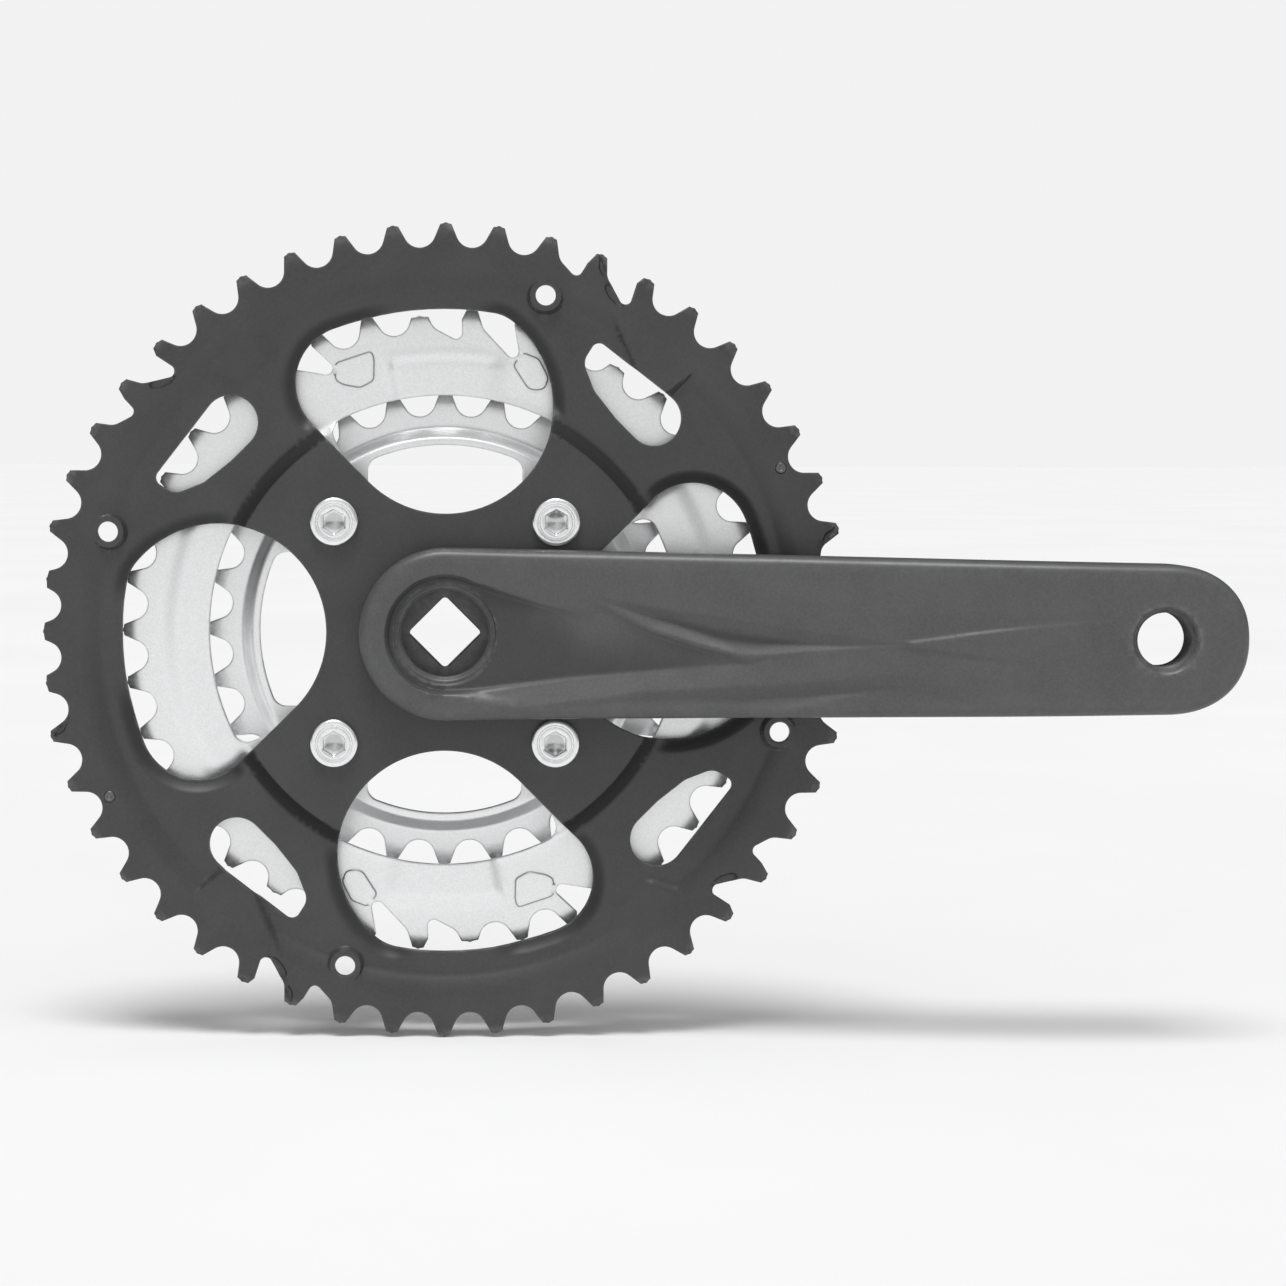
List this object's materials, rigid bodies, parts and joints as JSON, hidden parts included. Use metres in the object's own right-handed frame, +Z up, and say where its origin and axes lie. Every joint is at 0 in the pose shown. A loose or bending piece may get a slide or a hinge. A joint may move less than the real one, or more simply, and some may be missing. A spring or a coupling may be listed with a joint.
{
  "type": "crankset",
  "caption": "Right-hand bicycle crank arm with three stacked chainrings, held by sleeve nuts and hex bolts, with a square spindle socket and a threaded pedal hole.",
  "frame": {"origin": "on the spindle axis, at the inboard mouth of the square spindle socket", "axes": "+X from the spindle axis to the pedal axis along the arm, +Y inboard along the spindle, +Z up with the arm level"},
  "size_m": [0.2875, 0.0475, 0.1982],
  "materials": {
    "arm_paint": "dark grey satin paint over a forged alloy arm",
    "ring_paint": "black semi-gloss paint over stamped steel",
    "ring_steel": "bright zinc plated stamped steel, fine grain",
    "bolt_chrome": "bright plated bolt heads",
    "nut_steel": "plated steel, turned",
    "pin_steel": "riveted steel, dulled"
  },
  "bodies": {
    "root": {"crank_arm": "arm_paint", "outer_chainring": "ring_paint", "middle_chainring": "ring_steel", "inner_chainring": "ring_steel", "chainring_bolt_1": "bolt_chrome", "chainring_bolt_2": "bolt_chrome", "chainring_bolt_3": "bolt_chrome", "chainring_bolt_4": "bolt_chrome", "sleeve_nut_1": "nut_steel", "sleeve_nut_2": "nut_steel", "sleeve_nut_3": "nut_steel", "sleeve_nut_4": "nut_steel", "outer_spacer_1": "nut_steel", "outer_spacer_2": "nut_steel", "outer_spacer_3": "nut_steel", "outer_spacer_4": "nut_steel", "inner_spacer_1": "nut_steel", "inner_spacer_2": "nut_steel", "inner_spacer_3": "nut_steel", "inner_spacer_4": "nut_steel", "shift_pin_1": "pin_steel", "shift_pin_2": "pin_steel"}
  },
  "joints": []
}
